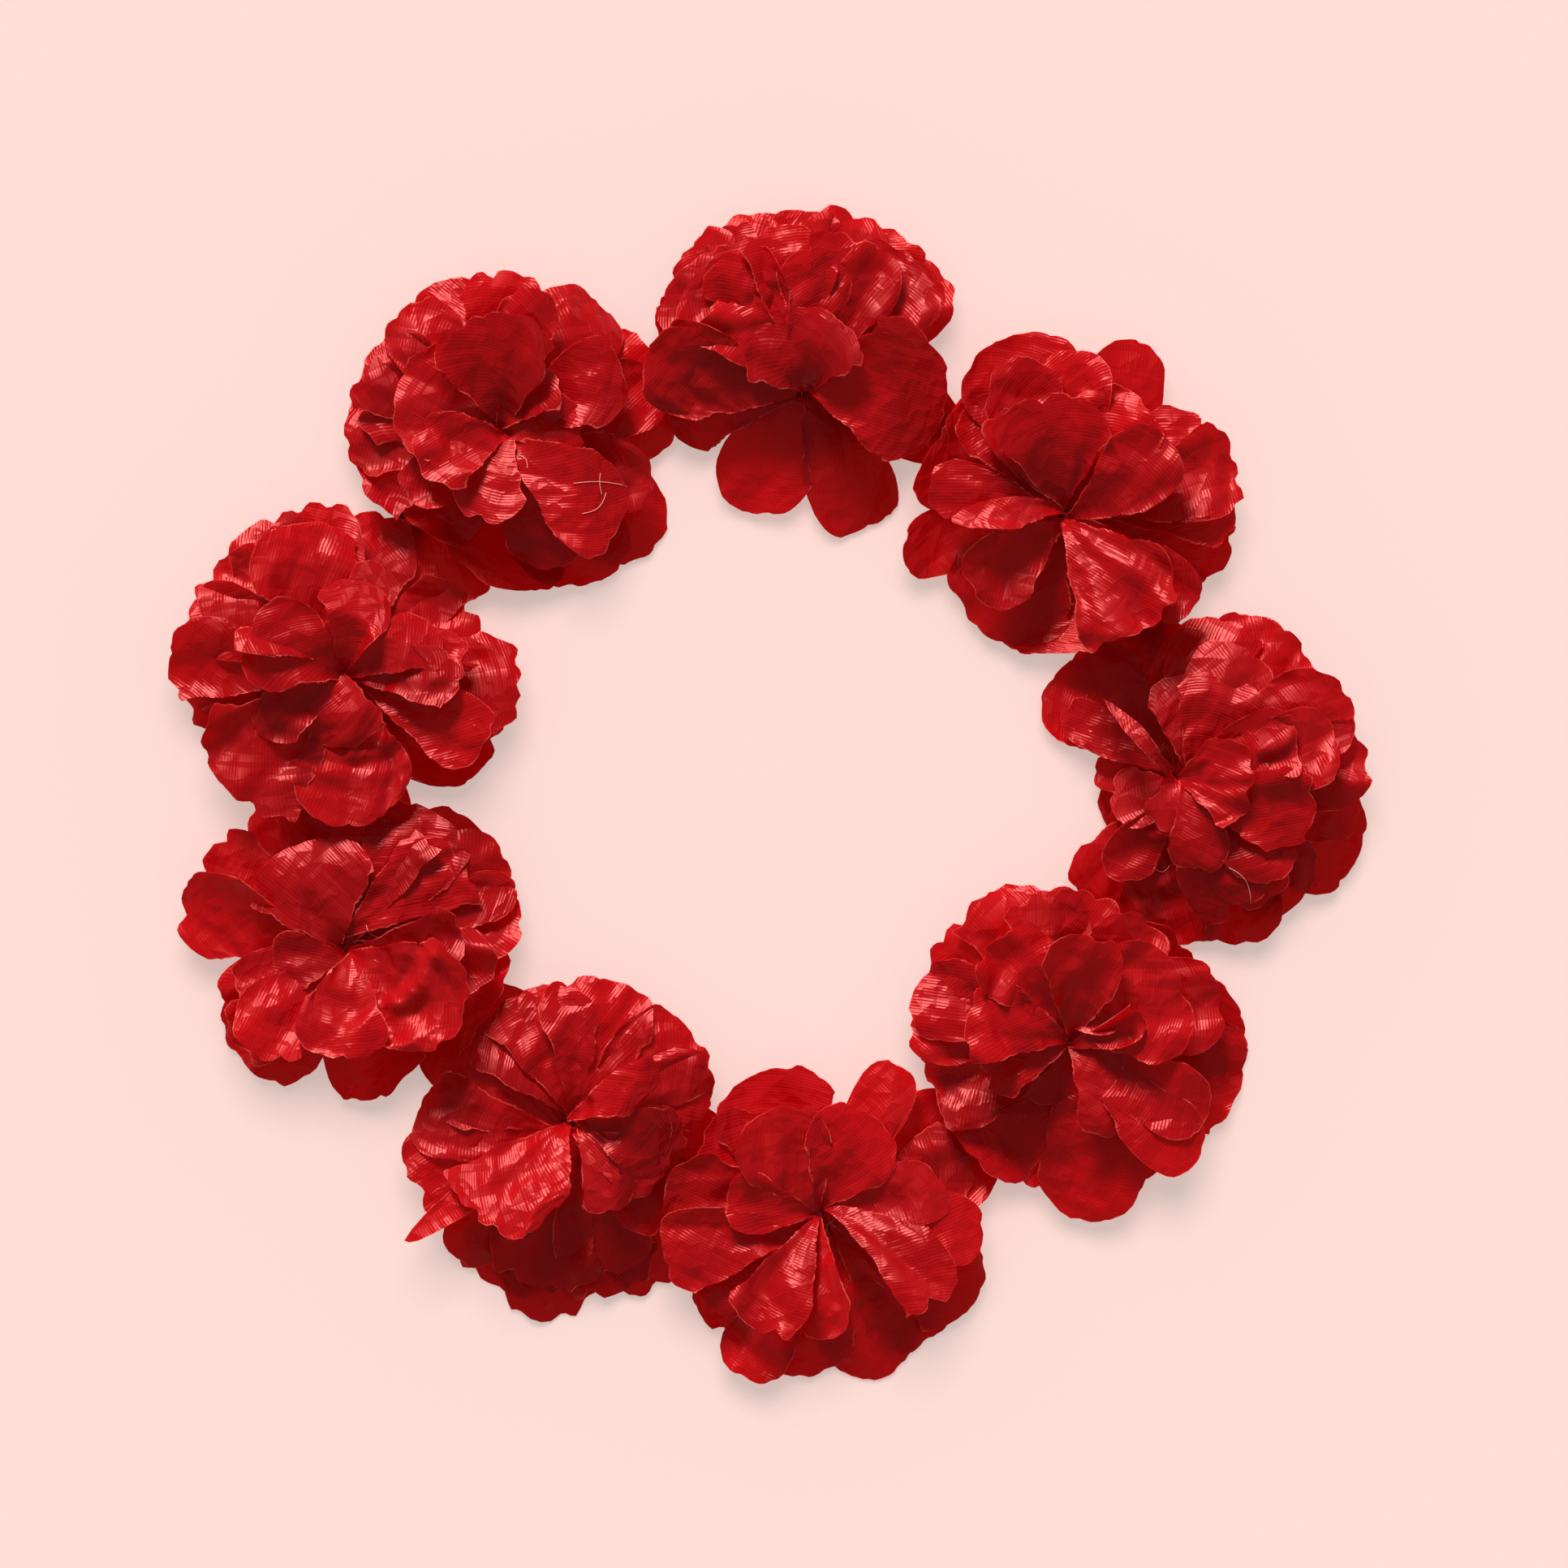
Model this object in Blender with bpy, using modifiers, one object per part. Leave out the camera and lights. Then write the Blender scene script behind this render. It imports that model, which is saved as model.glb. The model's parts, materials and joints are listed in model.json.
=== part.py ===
"""A wreath of nine red satin blooms sewn to a flat band, lying face up.

Metres, +Z up. The origin is on the surface that the wreath lies on, under the middle of its box.
Each bloom is one solid: a gathered core with petals in layers, listed from the lowest to the topmost.
"""

import math

import bmesh
import bpy
from mathutils import Vector

MM = 0.001

# The band that every bloom is sewn to.
BAND_WIDTH = 8.0 * MM
BAND_THICK = 1.2 * MM

# Cloth pieces keep this gap to what they lie on.
GAP = 0.3 * MM

# The gathered middle of a bloom, into which the petals are sewn.
CORE_FOOT_RADIUS = 7.0 * MM
CORE_TOP_RADIUS = 4.6 * MM
CORE_TOP = 9.0 * MM
CORE_SIDES = 12

# A petal: a blade with a narrow root, a round end and a waved edge.
PETAL_THICK = 0.8 * MM
ROOT_RADIUS = 2.4 * MM
ROOT_HEIGHT = 3.6 * MM
ROOT_STEP = 0.28 * MM
ROOT_SHARE = 0.24
WIDEST_AT = 0.66
END_ROUNDNESS = 0.42
END_POWER = 2.3
RUFFLE = 1.0 * MM
CUP_SHARE = 0.55
ACROSS = 4
ALONG = 2

# The lowest petals stay clear of the band.
FLOOR = 2.0 * MM
FLOOR_STEP = 0.12 * MM
FLOOR_SOFTNESS = 1.0 * MM

# Neighbouring blooms lean on each other at a slanting plane, and the petals bend clear of it.
SEAM_HEIGHT = 12.0 * MM
SEAM_SLANT = math.radians(60)
SEAM_CLEAR = 0.65 * MM
SEAM_STEP = 0.15 * MM
SEAM_SOFTNESS = 0.7 * MM

# The thread knot in the middle of a bloom.
KNOT_RADIUS = 1.2 * MM
KNOT_HEIGHT = 1.6 * MM

# Each bloom's centre, in mm, and its petals. A petal is its bearing, in degrees from +X, its reach
# from the centre and its width, in mm, the slope of its root and of its tip, and its roll, in degrees.
BLOOMS = [
    ((7, 93), [
        (296, 34, 27, 3, -3, 0), (244, 32, 25, 6, -6, 0), (182, 37, 26, 12, 6, 0),
        (345, 35, 26, 12, 0, 10), (14, 37, 24, 20, 5, -8), (42, 40, 24, 16, 6, 0),
        (66, 41, 24, 17, 6, 0), (90, 42, 24, 16, 6, 0), (115, 43, 24, 17, 8, 0),
        (141, 41, 24, 18, 6, 0), (165, 40, 24, 22, 6, 0), (135, 29, 24, 42, 14, 0),
        (70, 33, 22, 44, 24, 14), (88, 19, 32, 58, 50, 0),
    ]),
    ((-61, 84), [
        (268, 41, 36, 3, -4, 0), (318, 43, 34, 5, -4, 0), (350, 38, 24, 8, 0, 0),
        (26, 37, 28, 12, 4, 0), (54, 39, 25, 18, 6, 0), (92, 36, 20, 16, 8, 0),
        (112, 36, 22, 18, 8, 0), (178, 36, 22, 14, 8, 0), (212, 35, 28, 8, -4, 0),
        (142, 35, 30, 26, 12, 0), (318, 39, 24, 14, -6, 0), (80, 25, 26, 44, 26, 0),
        (250, 24, 22, 42, -24, 0), (352, 20, 26, 54, -8, 0), (188, 21, 24, 62, -16, 0),
    ]),
    ((-97, 28), [
        (322, 40, 32, 4, -3, 0), (200, 38, 28, 6, 0, 0), (68, 38, 30, 8, 0, 0),
        (32, 35, 26, 10, 0, 0), (128, 41, 26, 12, 6, 0), (152, 39, 24, 14, 6, 0),
        (172, 40, 20, 18, 6, 0), (3, 39, 22, 16, 2, 0), (226, 37, 28, 18, 4, 0),
        (336, 37, 20, 20, -5, 0), (284, 35, 28, 18, -8, 0), (105, 40, 36, 22, 8, 0),
        (166, 26, 26, 42, 6, 0), (60, 27, 22, 48, 20, 16), (262, 18, 26, 50, -8, 0),
    ]),
    ((-97, -34), [
        (116, 39, 30, 6, 0, 0), (248, 36, 28, 6, 0, 0), (287, 38, 24, 7, 0, 0),
        (140, 38, 12, 14, 6, 0), (167, 40, 18, 16, 4, 10), (42, 41, 34, 10, 2, 0),
        (15, 41, 26, 14, 6, 0), (347, 39, 27, 12, 2, 0), (216, 32, 22, 16, 4, 0),
        (58, 34, 26, 28, 12, 0), (112, 27, 31, 34, 10, 0), (230, 32, 18, 30, -4, 0),
        (328, 32, 30, 40, -12, 0), (262, 25, 21, 42, -16, 0),
    ]),
    ((-46, -75), [
        (262, 45, 30, 2, -3, 0), (300, 41, 32, 3, -3, 0), (236, 41, 26, 5, -3, 0),
        (334, 36, 28, 8, 0, 0), (12, 37, 24, 10, 4, 0), (42, 34, 25, 12, 5, 0),
        (72, 33, 26, 13, 5, 0), (102, 32, 25, 13, 5, 0), (134, 33, 25, 12, 4, 0),
        (167, 37, 24, 13, 4, 0), (192, 39, 24, 13, 4, 0), (215, 46, 14, 14, 2, 0),
        (350, 28, 24, 34, 4, 0), (12, 27, 18, 44, 8, -14), (242, 29, 28, 48, -20, 0),
    ]),
    ((11, -95), [
        (292, 42, 28, 3, -3, 0), (247, 41, 28, 4, -3, 0), (220, 36, 22, 6, 0, 0),
        (320, 38, 26, 8, 0, 0), (8, 36, 24, 8, 0, 0), (348, 42, 24, 14, 4, 0),
        (64, 39, 19, 12, 4, 0), (112, 35, 30, 12, 4, 0), (194, 38, 26, 18, 4, 0),
        (270, 36, 26, 16, -4, 0), (128, 29, 30, 30, 14, 0), (54, 27, 28, 30, 14, 0),
        (16, 31, 22, 30, 8, 0), (328, 33, 23, 40, -10, 0), (254, 29, 19, 42, -12, 0),
    ]),
    ((68, -55), [
        (10, 42, 34, 4, 0, 0), (345, 41, 28, 6, 0, 0), (36, 41, 28, 8, 2, 0),
        (248, 36, 26, 4, -3, 0), (276, 42, 28, 9, -5, 0), (300, 37, 22, 10, 0, 0),
        (220, 36, 28, 12, 0, 0), (182, 36, 28, 12, 5, 0), (150, 37, 26, 14, 6, 0),
        (118, 38, 26, 14, 6, 0), (84, 33, 26, 16, 4, 0), (318, 40, 24, 22, -4, 0),
        (8, 30, 36, 30, 10, 0), (190, 26, 24, 48, 8, 0), (94, 24, 24, 50, 28, 0),
    ]),
    ((94, 4), [
        (139, 36, 22, 4, 0, 0), (330, 43, 30, 5, -2, 0), (292, 40, 24, 5, -2, 0),
        (262, 36, 30, 4, -3, 0), (238, 31, 20, 8, 0, 0), (92, 38, 34, 9, 4, 0),
        (56, 41, 28, 11, 5, 0), (28, 43, 26, 13, 6, 0), (2, 43, 24, 14, 6, 0),
        (346, 40, 26, 18, 0, 0), (230, 23, 18, 40, 8, 0), (130, 31, 13, 48, 22, 16),
        (82, 28, 28, 38, 16, 0), (16, 31, 28, 40, 10, 0), (22, 18, 25, 58, -12, 0),
    ]),
    ((67, 65), [
        (270, 36, 30, 4, -3, 0), (305, 37, 30, 5, -3, 0), (190, 40, 24, 7, -2, 0),
        (238, 33, 30, 10, -3, 0), (346, 39, 26, 9, 2, 0), (112, 43, 31, 10, 4, 0),
        (64, 43, 30, 11, 4, 0), (144, 37, 24, 16, 2, 0), (14, 40, 26, 18, 8, 0),
        (90, 36, 20, 22, 8, 0), (36, 31, 30, 32, 12, 0), (86, 25, 23, 46, 22, 0),
        (128, 28, 17, 54, 20, 16), (186, 27, 17, 52, 4, -14), (312, 31, 28, 44, -14, 0),
    ]),
]

# Where two neighbours meet, the first one's petals lie over the second one's. They are counted from 0.
SEAMS = [(0, 1), (1, 2), (2, 3), (3, 4), (5, 4), (6, 5), (6, 7), (8, 7), (8, 0)]

# The middle of the box of all blooms, measured from the point that the centres above are counted from.
BOX_CENTRE = (0.0 * MM, 0.0 * MM)


def clear_scene():
    for obj in list(bpy.data.objects):
        bpy.data.objects.remove(obj, do_unlink=True)


def new_collection(name):
    collection = bpy.data.collections.new(name)
    bpy.context.scene.collection.children.link(collection)
    return collection


def material(name, color, roughness):
    made = bpy.data.materials.new(name)
    made.use_nodes = True
    shader = made.node_tree.nodes["Principled BSDF"]
    shader.inputs["Base Color"].default_value = (*color, 1)
    shader.inputs["Roughness"].default_value = roughness
    shader.inputs["Metallic"].default_value = 0
    return made


def object_from(bm, name, collection):
    mesh = bpy.data.meshes.new(name)
    bm.to_mesh(mesh)
    bm.free()
    obj = bpy.data.objects.new(name, mesh)
    collection.objects.link(obj)
    return obj


def centre_of(index):
    """A bloom's centre on the band, in metres."""
    x, y = BLOOMS[index][0]
    return Vector((x * MM - BOX_CENTRE[0], y * MM - BOX_CENTRE[1], 0))


def eased(distance, least, softness):
    """distance, turned smoothly away from least, which it never reaches."""
    return least + softness * math.log1p(math.exp((distance - least) / softness))


def leaning_planes(index):
    """The planes that a bloom's petals stay clear of: a point, a normal towards the bloom, and whether it is on top."""
    planes = []
    for over, under in SEAMS:
        if index not in (over, under):
            continue
        middle = (centre_of(over) + centre_of(under)) / 2 + Vector((0, 0, SEAM_HEIGHT))
        across = (centre_of(under) - centre_of(over)).normalized()
        normal = Vector((0, 0, math.sin(SEAM_SLANT))) - across * math.cos(SEAM_SLANT)
        on_top = index == over
        planes.append((middle, normal if on_top else -normal, on_top))
    return planes


def outline_point(width, u, v):
    """Share along the petal and distance across it, in metres, for u from root to tip and v from side to side."""
    opening = math.sin(min(u / WIDEST_AT, 1) * math.pi / 2)
    half = width / 2 * (ROOT_SHARE + (1 - ROOT_SHARE) * opening)
    return u * (1 - END_ROUNDNESS * abs(v) ** END_POWER), half * v


def petal_point(petal, rank, u, v):
    """A point of the petal's middle surface, from the bloom's centre on the band."""
    bearing, reach, width, root, tip, roll = petal
    bearing, root, tip, roll = (math.radians(angle) for angle in (bearing, root, tip, roll))
    share, side = outline_point(width * MM, u, v)
    turn = tip - root
    length = (reach * MM - ROOT_RADIUS) * turn / (math.sin(tip) - math.sin(root))
    slope = root + turn * share
    out = ROOT_RADIUS + length * (math.sin(slope) - math.sin(root)) / turn
    height = ROOT_HEIGHT + ROOT_STEP * rank - length * (math.cos(slope) - math.cos(root)) / turn

    # The sides bend up into a trough, deeper on a steep petal, and the end waves.
    bend = CUP_SHARE * abs(root) * 2 / (width * MM)
    across = math.sin(bend * side) / bend
    lift = (1 - math.cos(bend * side)) / bend
    lift += RUFFLE * math.cos(2 * math.pi * v) * u**2
    across, lift = (
        across * math.cos(roll) - lift * math.sin(roll),
        across * math.sin(roll) + lift * math.cos(roll),
    )

    outward = Vector((math.cos(bearing), math.sin(bearing), 0))
    sideways = Vector((-math.sin(bearing), math.cos(bearing), 0))
    normal = Vector((0, 0, math.cos(slope))) - outward * math.sin(slope)
    return outward * out + Vector((0, 0, height)) + sideways * across + normal * lift


def bent_clear(point, rank, count, planes):
    """The point, moved off the band and off the planes where the neighbours begin."""
    point = Vector((point.x, point.y, eased(point.z, FLOOR + FLOOR_STEP * rank, FLOOR_SOFTNESS)))
    for origin, normal, on_top in planes:
        pages = rank if on_top else count - 1 - rank
        distance = (point - origin).dot(normal)
        least = SEAM_CLEAR + SEAM_STEP * pages
        point += normal * (eased(distance, least, SEAM_SOFTNESS) - distance)
    return point


def petal_blade(petal, index, rank, count, planes, collection):
    bm = bmesh.new()
    bmesh.ops.create_grid(bm, x_segments=ACROSS, y_segments=ALONG, size=1)
    for vert in bm.verts:
        point = petal_point(petal, rank, (vert.co.y + 1) / 2, vert.co.x)
        vert.co = bent_clear(point + centre_of(index), rank, count, planes)
    bmesh.ops.triangulate(bm, faces=bm.faces)
    blade = object_from(bm, f"petal_{index}_{rank}", collection)
    wall = blade.modifiers.new("thickness", "SOLIDIFY")
    wall.thickness = PETAL_THICK
    wall.offset = 0
    return blade


def core(index, name, collection):
    foot = BAND_THICK + GAP
    bm = bmesh.new()
    bmesh.ops.create_cone(
        bm,
        cap_ends=True,
        segments=CORE_SIDES,
        radius1=CORE_FOOT_RADIUS,
        radius2=CORE_TOP_RADIUS,
        depth=CORE_TOP - foot,
    )
    bmesh.ops.translate(bm, verts=bm.verts, vec=centre_of(index) + Vector((0, 0, (CORE_TOP + foot) / 2)))
    return object_from(bm, name, collection)


def connected(start):
    """Every face that can be reached from one face, over shared edges."""
    reached = {start}
    waiting = [start]
    while waiting:
        for edge in waiting.pop().edges:
            for face in edge.link_faces:
                if face not in reached:
                    reached.add(face)
                    waiting.append(face)
    return reached


def fill_pockets(mesh):
    """Fills the closed pockets between petals: only the largest shell of the mesh stays."""
    bm = bmesh.new()
    bm.from_mesh(mesh)
    shells = []
    left = set(bm.faces)
    while left:
        shell = connected(next(iter(left)))
        shells.append(shell)
        left -= shell
    shells.sort(key=len)
    for shell in shells[:-1]:
        bmesh.ops.delete(bm, geom=list(shell), context="FACES")
    bm.to_mesh(mesh)
    bm.free()


def bloom(index, satin, collection):
    """One bloom: its petals joined to its core in one solid."""
    petals = BLOOMS[index][1]
    planes = leaning_planes(index)
    layers = new_collection(f"layers_{index + 1}")
    for rank, petal in enumerate(petals):
        petal_blade(petal, index, rank, len(petals), planes, layers)
    obj = core(index, f"bloom_{index + 1}", collection)
    join = obj.modifiers.new("sewn", "BOOLEAN")
    join.operation = "UNION"
    join.solver = "MANIFOLD"
    join.operand_type = "COLLECTION"
    join.collection = layers
    graph = bpy.context.evaluated_depsgraph_get()
    obj.data = bpy.data.meshes.new_from_object(obj.evaluated_get(graph))
    obj.modifiers.clear()
    fill_pockets(obj.data)
    obj.data.materials.clear()
    obj.data.materials.append(satin)
    for blade in list(layers.objects):
        bpy.data.objects.remove(blade, do_unlink=True)
    bpy.data.collections.remove(layers)


def knot(index, thread, collection):
    """The knot of the thread that holds a bloom, on the gathered middle."""
    bm = bmesh.new()
    bmesh.ops.create_icosphere(bm, subdivisions=1, radius=KNOT_RADIUS)
    bmesh.ops.scale(bm, verts=bm.verts, vec=(1, 1, KNOT_HEIGHT / 2 / KNOT_RADIUS))
    middle = CORE_TOP + GAP + KNOT_HEIGHT / 2
    bmesh.ops.translate(bm, verts=bm.verts, vec=centre_of(index) + Vector((0, 0, middle)))
    obj = object_from(bm, f"knot_{index + 1}", collection)
    obj.data.materials.append(thread)


def band_loop(curve, points, offset):
    """A closed smooth line through the bloom centres, moved sideways by offset."""
    middle = sum(points, Vector()) / len(points)
    spline = curve.splines.new("BEZIER")
    spline.bezier_points.add(len(points) - 1)
    spline.use_cyclic_u = True
    spline.resolution_u = 6
    for knot_point, point in zip(spline.bezier_points, points):
        knot_point.co = point + (point - middle).normalized() * offset
        knot_point.handle_left_type = "AUTO"
        knot_point.handle_right_type = "AUTO"


def band(cloth, collection):
    """The flat band: a closed loop lying on the surface, under every bloom."""
    curve = bpy.data.curves.new("band", "CURVE")
    curve.dimensions = "2D"
    curve.fill_mode = "BOTH"
    curve.resolution_u = 6
    curve.extrude = BAND_THICK / 2
    points = [centre_of(index) for index in range(len(BLOOMS))]
    band_loop(curve, points, BAND_WIDTH / 2)
    band_loop(curve, points, -BAND_WIDTH / 2)
    curve.materials.append(cloth)
    obj = bpy.data.objects.new("band", curve)
    obj.location.z = BAND_THICK / 2
    collection.objects.link(obj)


def main():
    clear_scene()
    wreath = new_collection("floral_wreath")
    satin = material("petal_satin", (0.42, 0.008, 0.01), 0.42)
    cloth = material("band_cloth", (0.2, 0.006, 0.008), 0.8)
    thread = material("sewing_thread", (0.62, 0.16, 0.16), 0.6)
    band(cloth, wreath)
    for index in range(len(BLOOMS)):
        bloom(index, satin, wreath)
        knot(index, thread, wreath)


main()
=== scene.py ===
import json
import math
import random

import bmesh
import bpy
from mathutils import Matrix, Vector, noise
from mathutils.bvhtree import BVHTree

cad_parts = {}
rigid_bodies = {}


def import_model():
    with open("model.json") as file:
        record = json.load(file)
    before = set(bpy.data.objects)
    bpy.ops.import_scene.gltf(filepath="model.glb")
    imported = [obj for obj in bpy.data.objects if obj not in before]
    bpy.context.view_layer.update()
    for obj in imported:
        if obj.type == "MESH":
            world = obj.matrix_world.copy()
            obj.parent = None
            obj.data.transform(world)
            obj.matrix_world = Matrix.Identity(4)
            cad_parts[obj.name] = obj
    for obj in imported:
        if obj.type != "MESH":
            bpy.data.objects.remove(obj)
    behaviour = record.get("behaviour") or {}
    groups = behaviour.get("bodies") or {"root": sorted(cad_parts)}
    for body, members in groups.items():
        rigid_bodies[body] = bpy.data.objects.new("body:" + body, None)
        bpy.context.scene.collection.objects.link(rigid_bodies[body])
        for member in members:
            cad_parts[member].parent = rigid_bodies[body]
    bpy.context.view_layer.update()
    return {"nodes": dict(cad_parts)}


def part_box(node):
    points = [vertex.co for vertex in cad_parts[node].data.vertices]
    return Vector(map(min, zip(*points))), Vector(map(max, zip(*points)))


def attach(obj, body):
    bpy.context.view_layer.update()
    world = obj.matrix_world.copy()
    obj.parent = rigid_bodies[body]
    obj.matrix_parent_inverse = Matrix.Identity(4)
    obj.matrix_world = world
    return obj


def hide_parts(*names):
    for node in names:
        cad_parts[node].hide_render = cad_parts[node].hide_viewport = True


mm = 0.001

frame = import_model()


def smooth(value, start, end):
    # 0 before start, 1 after end
    share = min(max((value - start) / (end - start), 0), 1)
    return share * share * (3 - 2 * share)


def eased(distance, least, softness):
    # distance, turned smoothly away from least
    return least + softness * math.log1p(math.exp(min((distance - least) / softness, 50)))


# The finishes

def newMaterial(name):
    made = bpy.data.materials.new(name)
    made.use_nodes = True
    made.node_tree.nodes.clear()
    return made, made.node_tree.nodes, made.node_tree.links


def mathNode(nodes, links, operation, first, second=None, clamp=False):
    node = nodes.new("ShaderNodeMath")
    node.operation = operation
    node.use_clamp = clamp
    for socket, value in zip(node.inputs, (first, second)):
        if value is None:
            continue
        if isinstance(value, (int, float)):
            socket.default_value = value
        else:
            links.new(value, socket)
    return node.outputs[0]


def mixColor(nodes, links, factor, first, second):
    node = nodes.new("ShaderNodeMix")
    node.data_type = "RGBA"
    for socket, value in zip((node.inputs[0], node.inputs[6], node.inputs[7]), (factor, first, second)):
        if isinstance(value, bpy.types.NodeSocket):
            links.new(value, socket)
        else:
            socket.default_value = value
    return node.outputs[2]


def noiseOn(nodes, links, vector, scale, detail):
    grain = nodes.new("ShaderNodeTexNoise")
    grain.inputs["Scale"].default_value = scale
    grain.inputs["Detail"].default_value = detail
    links.new(vector, grain.inputs["Vector"])
    return grain


def showShader(nodes, links, shader):
    out = nodes.new("ShaderNodeOutputMaterial")
    links.new(shader.outputs[0], out.inputs[0])


satin = {
    "deep": (0.290, 0.0020, 0.0048, 1),
    "bright": (0.580, 0.0050, 0.0095, 1),
    # pale frayed threads at the cuts, also a painted highlight on edges that catch the light
    "frayAndEdgeHighlight": (0.900, 0.150, 0.120, 1),
    "glow": (1.000, 0.010, 0.008, 1),
    "glowShare": 0.46,
    "roughness": 0.34,
    "specular": 0.9,
    "specularTint": (1.0, 0.26, 0.25, 1),
    "anisotropy": 0.60,
    "sheen": 0.04,
    "sheenRoughness": 0.35,
    "sheenTint": (1.0, 0.30, 0.26, 1),
    "ribPitch": 0.70,
    "ribDrift": 0.06,
    "driftScale": 1.1,
    "slubScale": (8, 26, 1),
    "creaseScale": 1.3,
    "creaseRoughness": 0.50,
    "creaseDistortion": 0.6,
    "facetScale": 2.0,
    "detail": 3,
    "startTone": -0.08,
    "slubTone": 0.55,
    "ownTone": 0.5,
    "ribTone": 0.17,
    "frayWidth": 0.26,
    "fraySharpness": 4.0,
    "patchScale": 1.3,
    "patchLevel": 0.47,
    "patchSharpness": 7.0,
    "facetHeight": 1.15,
    "creaseHeight": 1.20,
    "slubHeight": 0.07,
    "ribHeight": 0.030,
    "bumpStrength": 0.75,
    "bumpDepth": 0.6,
}


def makeSatin():
    made, nodes, links = newMaterial("petal_satin")
    cut = nodes.new("ShaderNodeUVMap")
    cut.uv_map = "cut"
    cloth = cut.outputs[0]
    parts = nodes.new("ShaderNodeSeparateXYZ")
    links.new(cloth, parts.inputs[0])

    # fine ribs of the weave across the cloth, in cm as the map is, and the slubs in its threads
    turns = 2 * math.pi / (satin["ribPitch"] / 10)
    drift = noiseOn(nodes, links, cloth, satin["driftScale"], 2)
    run = mathNode(nodes, links, "MULTIPLY_ADD", drift.outputs["Fac"], satin["ribDrift"])
    links.new(parts.outputs[1], run.node.inputs[2])
    ribs = mathNode(nodes, links, "SINE", mathNode(nodes, links, "MULTIPLY", run, turns))
    stretch = nodes.new("ShaderNodeMapping")
    stretch.inputs["Scale"].default_value = satin["slubScale"]
    links.new(cloth, stretch.inputs[0])
    slubs = noiseOn(nodes, links, stretch.outputs[0], 1.0, satin["detail"])
    creases = noiseOn(nodes, links, cloth, satin["creaseScale"], satin["detail"])
    creases.noise_type = "RIDGED_MULTIFRACTAL"
    creases.inputs["Roughness"].default_value = satin["creaseRoughness"]
    creases.inputs["Distortion"].default_value = satin["creaseDistortion"]

    # dye that takes a little unevenly
    shade = nodes.new("ShaderNodeAttribute")
    shade.attribute_name = "shade"
    tone = mathNode(nodes, links, "MULTIPLY_ADD", slubs.outputs["Fac"], satin["slubTone"])
    tone.node.inputs[2].default_value = satin["startTone"]
    own = mathNode(nodes, links, "MULTIPLY", shade.outputs["Fac"], satin["ownTone"])
    tone = mathNode(nodes, links, "ADD", tone, own, True)
    ribTone = mathNode(nodes, links, "MULTIPLY_ADD", ribs, satin["ribTone"])
    links.new(tone, ribTone.node.inputs[2])
    body = mixColor(nodes, links, ribTone, satin["deep"], satin["bright"])

    # a pale frayed line along parts of every cut: partly loose threads, partly a painted highlight where the
    # cut edges catch the light
    toEdge = nodes.new("ShaderNodeAttribute")
    toEdge.attribute_name = "toEdge"
    ragged = mathNode(nodes, links, "MULTIPLY", slubs.outputs["Fac"], 2 * satin["frayWidth"])
    frayEdgeHighlight = mathNode(nodes, links, "SUBTRACT", ragged, toEdge.outputs["Fac"])
    frayEdgeHighlight = mathNode(nodes, links, "MULTIPLY", frayEdgeHighlight, satin["fraySharpness"], True)
    stretches = noiseOn(nodes, links, cloth, satin["patchScale"], satin["detail"])
    patches = mathNode(nodes, links, "SUBTRACT", stretches.outputs["Fac"], satin["patchLevel"])
    patches = mathNode(nodes, links, "MULTIPLY", patches, satin["patchSharpness"], True)
    frayEdgeHighlight = mathNode(nodes, links, "MULTIPLY", frayEdgeHighlight, patches)
    # mix in the pale edge line, partly frayed threads and partly a painted edge highlight
    color = mixColor(nodes, links, frayEdgeHighlight, body, satin["frayAndEdgeHighlight"])

    # crushed facets and creases with the threads on top
    facets = nodes.new("ShaderNodeTexVoronoi")
    facets.distance = "MANHATTAN"
    facets.inputs["Scale"].default_value = satin["facetScale"]
    links.new(cloth, facets.inputs["Vector"])
    creased = mathNode(nodes, links, "MULTIPLY", creases.outputs["Fac"], satin["creaseHeight"])
    crushed = mathNode(nodes, links, "MULTIPLY_ADD", facets.outputs["Distance"], satin["facetHeight"])
    links.new(creased, crushed.node.inputs[2])
    threads = mathNode(nodes, links, "MULTIPLY_ADD", slubs.outputs["Fac"], satin["slubHeight"])
    links.new(crushed, threads.node.inputs[2])
    height = mathNode(nodes, links, "MULTIPLY_ADD", ribs, satin["ribHeight"])
    links.new(threads, height.node.inputs[2])
    bump = nodes.new("ShaderNodeBump")
    bump.inputs["Strength"].default_value = satin["bumpStrength"]
    bump.inputs["Distance"].default_value = satin["bumpDepth"] * mm
    links.new(height, bump.inputs["Height"])

    thread = nodes.new("ShaderNodeTangent")
    thread.direction_type = "UV_MAP"
    thread.uv_map = "cut"

    front = nodes.new("ShaderNodeBsdfPrincipled")
    front.inputs["Roughness"].default_value = satin["roughness"]
    front.inputs["Specular IOR Level"].default_value = satin["specular"]
    front.inputs["Anisotropic"].default_value = satin["anisotropy"]
    front.inputs["Sheen Weight"].default_value = satin["sheen"]
    front.inputs["Sheen Roughness"].default_value = satin["sheenRoughness"]
    front.inputs["Sheen Tint"].default_value = satin["sheenTint"]
    front.inputs["Specular Tint"].default_value = satin["specularTint"]
    links.new(color, front.inputs["Base Color"])
    links.new(bump.outputs[0], front.inputs["Normal"])
    links.new(thread.outputs[0], front.inputs["Tangent"])

    # light that comes through the cloth
    through = nodes.new("ShaderNodeBsdfTranslucent")
    through.inputs["Color"].default_value = satin["glow"]
    blend = nodes.new("ShaderNodeMixShader")
    blend.inputs[0].default_value = satin["glowShare"]
    links.new(front.outputs[0], blend.inputs[1])
    links.new(through.outputs[0], blend.inputs[2])
    showShader(nodes, links, blend)
    return made


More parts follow.
